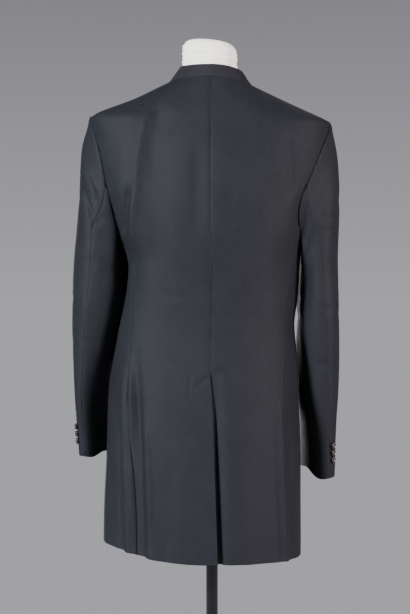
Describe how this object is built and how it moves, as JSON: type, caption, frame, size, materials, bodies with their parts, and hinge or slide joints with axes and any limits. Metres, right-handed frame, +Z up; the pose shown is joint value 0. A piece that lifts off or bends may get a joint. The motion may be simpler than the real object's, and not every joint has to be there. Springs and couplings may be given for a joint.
{
  "type": "alpine folk jacket on a limbless dress form",
  "caption": "Long wool jacket with stand collar, set-in sleeves, horn cuff buttons and a centre back vent, worn by a limbless dress form on a pole stand with a round base.",
  "frame": {"origin": "on the floor under the pole's axis, the centre of the base's flat underside", "axes": "+Z up, the jacket's front towards -Y and its back towards +Y, the wearer's left towards +X"},
  "size_m": [0.5088, 0.33, 1.5957],
  "materials": {
    "wool_cloth": "smooth anthracite wool with a faint sheen",
    "horn": "dark polished horn",
    "form_fabric": "white cotton wrapping",
    "black_steel": "black satin paint"
  },
  "bodies": {
    "root": {"back_left": "wool_cloth", "back_right": "wool_cloth", "side_left": "wool_cloth", "side_right": "wool_cloth", "front_left": "wool_cloth", "front_right": "wool_cloth", "upper_sleeve_left": "wool_cloth", "upper_sleeve_right": "wool_cloth", "under_sleeve_left": "wool_cloth", "under_sleeve_right": "wool_cloth", "collar": "wool_cloth", "cuff_button_left_1": "horn", "cuff_button_left_2": "horn", "cuff_button_left_3": "horn", "cuff_button_right_1": "horn", "cuff_button_right_2": "horn", "cuff_button_right_3": "horn", "front_button_1": "horn", "front_button_2": "horn", "front_button_3": "horn", "front_button_4": "horn", "front_button_5": "horn", "form_torso": "form_fabric", "form_neck": "form_fabric", "stand_pole": "black_steel", "stand_base": "black_steel"}
  },
  "joints": []
}
